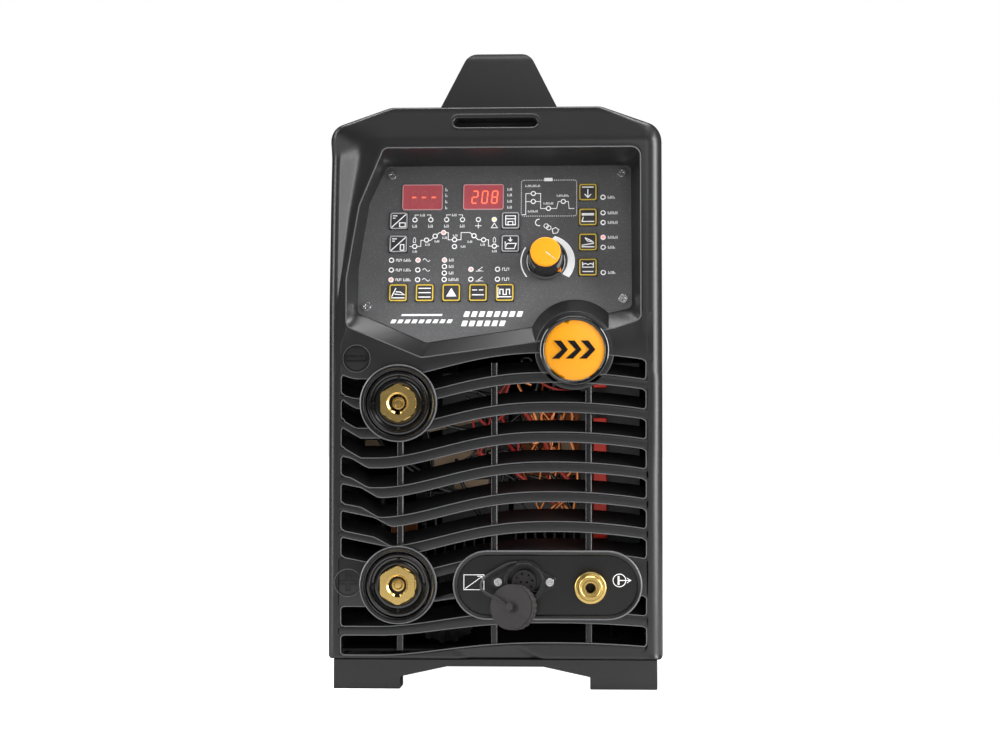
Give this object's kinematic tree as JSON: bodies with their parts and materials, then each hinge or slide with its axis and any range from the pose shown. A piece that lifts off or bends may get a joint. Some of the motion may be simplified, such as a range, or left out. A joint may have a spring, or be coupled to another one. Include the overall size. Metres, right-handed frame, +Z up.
{
  "type": "tig welding machine",
  "caption": "Portable inverter TIG welding machine with a sloping control panel, louvred front, two welding sockets, torch connectors and a top carry handle.",
  "frame": {"origin": "under the middle of the machine, on the surface that it stands on", "axes": "+Z up, the front with its control panel faces -Y, +X is to the right of someone facing the front"},
  "size_m": [0.245, 0.5665, 0.4805],
  "materials": {
    "moulding": "fine spark-eroded black moulding",
    "fascia": "satin dark grey overlay with pale print",
    "fastener": "bright zinc",
    "dark_fastener": "black zinc",
    "display_red": "red tinted lens",
    "lamp": "clear round lens",
    "circuit_board": "green solder mask",
    "badge_black": "gloss black",
    "badge_yellow": "domed yellow",
    "insulator": "glass filled black",
    "brass": "turned brass",
    "connector_black": "satin black",
    "casing_paint": "textured black powder coat",
    "handle_black": "grained black moulding",
    "fan_black": "moulded black",
    "switch_black": "semi gloss",
    "aluminium": "extruded",
    "ferrite": "dark ferrite",
    "copper": "enamelled copper",
    "capacitor_sleeve": "shrink sleeve",
    "film_red": "red epoxy",
    "hose_black": "smooth hose",
    "dial_black": "gloss black",
    "dial_yellow": "yellow inlay with a pale line",
    "cap_rubber": "grey black rubber",
    "tether_rubber": "black rubber",
    "key_grey": "pale framed key",
    "key_yellow": "yellow framed key"
  },
  "bodies": {
    "casing": {"front_bezel": "moulding", "control_plate": "fascia", "fascia_screws": "fastener", "display_windows": "display_red", "led_lenses": "lamp", "control_board": "circuit_board", "encoder_body": "fastener", "badge_ring": "badge_black", "badge_disc": "badge_yellow", "socket_insulators": "insulator", "panel_sockets": "brass", "connector_plate": "connector_black", "remote_socket_shell": "connector_black", "remote_socket_insert": "insulator", "remote_socket_screws": "fastener", "gas_outlet": "brass", "chassis_tray": "casing_paint", "left_side_panel": "casing_paint", "right_side_panel": "casing_paint", "top_panel": "casing_paint", "carry_handle": "handle_black", "front_foot": "moulding", "rear_foot": "moulding", "casing_screws": "dark_fastener", "rear_bezel": "moulding", "fan_frame": "fan_black", "mains_switch_body": "switch_black", "cable_gland": "connector_black", "gas_inlet": "brass", "earth_stud": "fastener", "power_board": "circuit_board", "heat_sinks": "aluminium", "transformer_core": "ferrite", "transformer_winding": "copper", "output_choke": "copper", "bulk_capacitors": "capacitor_sleeve", "film_capacitors": "film_red", "busbars": "copper", "gas_valve": "brass", "gas_hose": "hose_black"},
    "fan": {"fan_rotor": "fan_black"},
    "mains_switch": {"mains_switch_knob": "switch_black"},
    "dial_shaft": {"encoder_shaft": "fastener"},
    "dial": {"dial_knob": "dial_black", "dial_cap": "dial_yellow"},
    "tether": {"cap_tether": "tether_rubber"},
    "cap": {"dust_cap": "cap_rubber"},
    "select_up_key": {"key_select_up": "key_grey"},
    "select_down_key": {"key_select_down": "key_grey"},
    "save_key": {"key_save": "key_grey"},
    "load_key": {"key_load": "key_grey"},
    "process_key": {"key_process": "key_yellow"},
    "waveform_key": {"key_waveform": "key_yellow"},
    "trigger_mode_key": {"key_trigger_mode": "key_yellow"},
    "hf_start_key": {"key_hf_start": "key_yellow"},
    "pulse_key": {"key_pulse": "key_yellow"},
    "vrd_key": {"key_vrd": "key_yellow"},
    "stick_key": {"key_stick": "key_yellow"},
    "pedal_key": {"key_pedal": "key_yellow"},
    "cooler_key": {"key_cooler": "key_yellow"}
  },
  "joints": [
    {"name": "fan_spin", "type": "hinge", "parent": "casing", "child": "fan", "pos_m": [0, 0.225, 0.23], "axis": [0, 1, 0], "continuous": true},
    {"name": "mains_switch_turn", "type": "hinge", "parent": "casing", "child": "mains_switch", "pos_m": [-0.058, 0.255, 0.362], "axis": [0, 1, 0], "range_deg": [0, 90]},
    {"name": "dial_press", "type": "slide", "parent": "casing", "child": "dial_shaft", "axis": [0, 0.9703, -0.2419], "range_m": [0, 0.0006], "stiffness_N_per_m": 1500, "springref_m": -0.0006},
    {"name": "dial_turn", "type": "hinge", "parent": "dial_shaft", "child": "dial", "pos_m": [0.037, -0.23308, 0.31384], "axis": [0, -0.9703, 0.2419], "continuous": true},
    {"name": "tether_swing", "type": "hinge", "parent": "casing", "child": "tether", "pos_m": [0.0213, -0.259, 0.0783], "axis": [0, -1, 0], "range_deg": [-30, 30]},
    {"name": "cap_spin", "type": "hinge", "parent": "tether", "child": "cap", "pos_m": [0.0124, -0.2775, 0.0617], "axis": [-0.357, -0.93, 0.0872], "continuous": true},
    {"name": "key_select_up_press", "type": "slide", "parent": "casing", "child": "select_up_key", "axis": [0, 0.9703, -0.2419], "range_m": [0, 0.0008], "stiffness_N_per_m": 300, "springref_m": -0.0005},
    {"name": "key_select_down_press", "type": "slide", "parent": "casing", "child": "select_down_key", "axis": [0, 0.9703, -0.2419], "range_m": [0, 0.0008], "stiffness_N_per_m": 300, "springref_m": -0.0005},
    {"name": "key_save_press", "type": "slide", "parent": "casing", "child": "save_key", "axis": [0, 0.9703, -0.2419], "range_m": [0, 0.0008], "stiffness_N_per_m": 300, "springref_m": -0.0005},
    {"name": "key_load_press", "type": "slide", "parent": "casing", "child": "load_key", "axis": [0, 0.9703, -0.2419], "range_m": [0, 0.0008], "stiffness_N_per_m": 300, "springref_m": -0.0005},
    {"name": "key_process_press", "type": "slide", "parent": "casing", "child": "process_key", "axis": [0, 0.9703, -0.2419], "range_m": [0, 0.0008], "stiffness_N_per_m": 300, "springref_m": -0.0005},
    {"name": "key_waveform_press", "type": "slide", "parent": "casing", "child": "waveform_key", "axis": [0, 0.9703, -0.2419], "range_m": [0, 0.0008], "stiffness_N_per_m": 300, "springref_m": -0.0005},
    {"name": "key_trigger_mode_press", "type": "slide", "parent": "casing", "child": "trigger_mode_key", "axis": [0, 0.9703, -0.2419], "range_m": [0, 0.0008], "stiffness_N_per_m": 300, "springref_m": -0.0005},
    {"name": "key_hf_start_press", "type": "slide", "parent": "casing", "child": "hf_start_key", "axis": [0, 0.9703, -0.2419], "range_m": [0, 0.0008], "stiffness_N_per_m": 300, "springref_m": -0.0005},
    {"name": "key_pulse_press", "type": "slide", "parent": "casing", "child": "pulse_key", "axis": [0, 0.9703, -0.2419], "range_m": [0, 0.0008], "stiffness_N_per_m": 300, "springref_m": -0.0005},
    {"name": "key_vrd_press", "type": "slide", "parent": "casing", "child": "vrd_key", "axis": [0, 0.9703, -0.2419], "range_m": [0, 0.0008], "stiffness_N_per_m": 300, "springref_m": -0.0005},
    {"name": "key_stick_press", "type": "slide", "parent": "casing", "child": "stick_key", "axis": [0, 0.9703, -0.2419], "range_m": [0, 0.0008], "stiffness_N_per_m": 300, "springref_m": -0.0005},
    {"name": "key_pedal_press", "type": "slide", "parent": "casing", "child": "pedal_key", "axis": [0, 0.9703, -0.2419], "range_m": [0, 0.0008], "stiffness_N_per_m": 300, "springref_m": -0.0005},
    {"name": "key_cooler_press", "type": "slide", "parent": "casing", "child": "cooler_key", "axis": [0, 0.9703, -0.2419], "range_m": [0, 0.0008], "stiffness_N_per_m": 300, "springref_m": -0.0005}
  ]
}
